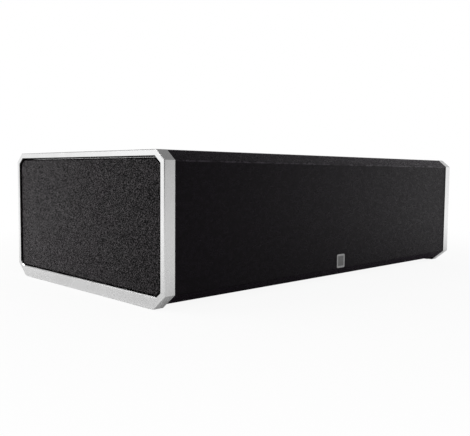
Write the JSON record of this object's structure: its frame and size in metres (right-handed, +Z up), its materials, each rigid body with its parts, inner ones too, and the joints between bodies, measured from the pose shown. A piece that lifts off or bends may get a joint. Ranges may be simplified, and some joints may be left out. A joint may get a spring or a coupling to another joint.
{
  "type": "center channel speaker",
  "caption": "Long low loudspeaker cabinet wrapped in black cloth, closed by eight-sided metal end frames that carry dark inset panels and serve as feet; drivers, port and terminals inside.",
  "frame": {"origin": "bottom centre of the speaker, on the surface its feet stand on", "axes": "+X along the width, to the right seen from the front; the cloth front faces -Y; +Z up"},
  "size_m": [0.669, 0.366, 0.187],
  "materials": {
    "board": "bare fibreboard",
    "cloth": "black woven knit",
    "frame_metal": "satin silver",
    "end_panel": "fine speckled dark texture",
    "foot_rubber": "matt",
    "screw_steel": "zinc plated",
    "badge_metal": "satin silver",
    "basket_metal": "black painted casting",
    "surround_rubber": "matt",
    "spider_cloth": "varnished cloth",
    "cone": "black polypropylene",
    "coil_wire": "enamelled copper wire",
    "plate_steel": "plated",
    "magnet": "ground ferrite",
    "faceplate": "black moulded",
    "dome_metal": "spun",
    "cup_plastic": "black moulded",
    "post_metal": "gold plated",
    "nut_red": "red",
    "nut_black": "black",
    "crossover_panel": "hardboard",
    "capacitor_case": "moulded",
    "wadding": "loose white fibre"
  },
  "bodies": {
    "cabinet": {"back_board": "board", "badge_plate": "badge_metal", "bottom_board": "board", "brace_left": "board", "brace_right": "board", "crossover_board": "crossover_panel", "crossover_capacitors": "capacitor_case", "crossover_coils": "coil_wire", "driver_magnets": "magnet", "driver_surrounds": "surround_rubber", "driver_top_plates": "plate_steel", "driver_yokes": "plate_steel", "end_board_left": "board", "end_board_right": "board", "end_frame_left": "frame_metal", "end_frame_right": "frame_metal", "end_panel_left": "end_panel", "end_panel_right": "end_panel", "foot_pads": "foot_rubber", "frame_screws": "screw_steel", "front_baffle": "board", "grille_cloth": "cloth", "grille_rail_bottom": "board", "grille_rail_top": "board", "grille_uprights": "board", "lining_pads": "wadding", "port_tube": "cup_plastic", "terminal_cup": "cup_plastic", "terminal_posts": "post_metal", "top_board": "board", "tweeter_faceplate": "faceplate", "woofer_baskets": "basket_metal", "woofer_spiders": "spider_cloth"},
    "woofer_left": {"voice_coil_left": "coil_wire", "woofer_cone_left": "cone"},
    "woofer_right": {"voice_coil_right": "coil_wire", "woofer_cone_right": "cone"},
    "tweeter": {"tweeter_dome": "dome_metal"},
    "nut_red": {"terminal_nut_red": "nut_red"},
    "nut_black": {"terminal_nut_black": "nut_black"}
  },
  "joints": [
    {"name": "woofer_travel_left", "type": "slide", "parent": "cabinet", "child": "woofer_left", "axis": [0, -1, 0], "range_m": [-0.004, 0.004], "stiffness_N_per_m": 900, "deforming": ["driver_surrounds", "woofer_spiders"]},
    {"name": "woofer_travel_right", "type": "slide", "parent": "cabinet", "child": "woofer_right", "axis": [0, -1, 0], "range_m": [-0.004, 0.004], "stiffness_N_per_m": 900, "deforming": ["driver_surrounds", "woofer_spiders"]},
    {"name": "tweeter_travel", "type": "slide", "parent": "cabinet", "child": "tweeter", "axis": [0, -1, 0], "range_m": [-0.0003, 0.0003], "stiffness_N_per_m": 1500, "deforming": ["driver_surrounds"]},
    {"name": "terminal_nut_red_turn", "type": "hinge", "parent": "cabinet", "child": "nut_red", "pos_m": [-0.0095, 0.164, 0.0966], "axis": [0, 1, 0], "range_deg": [0, 720]},
    {"name": "terminal_nut_black_turn", "type": "hinge", "parent": "cabinet", "child": "nut_black", "pos_m": [0.0095, 0.164, 0.0966], "axis": [0, 1, 0], "range_deg": [0, 720]}
  ]
}
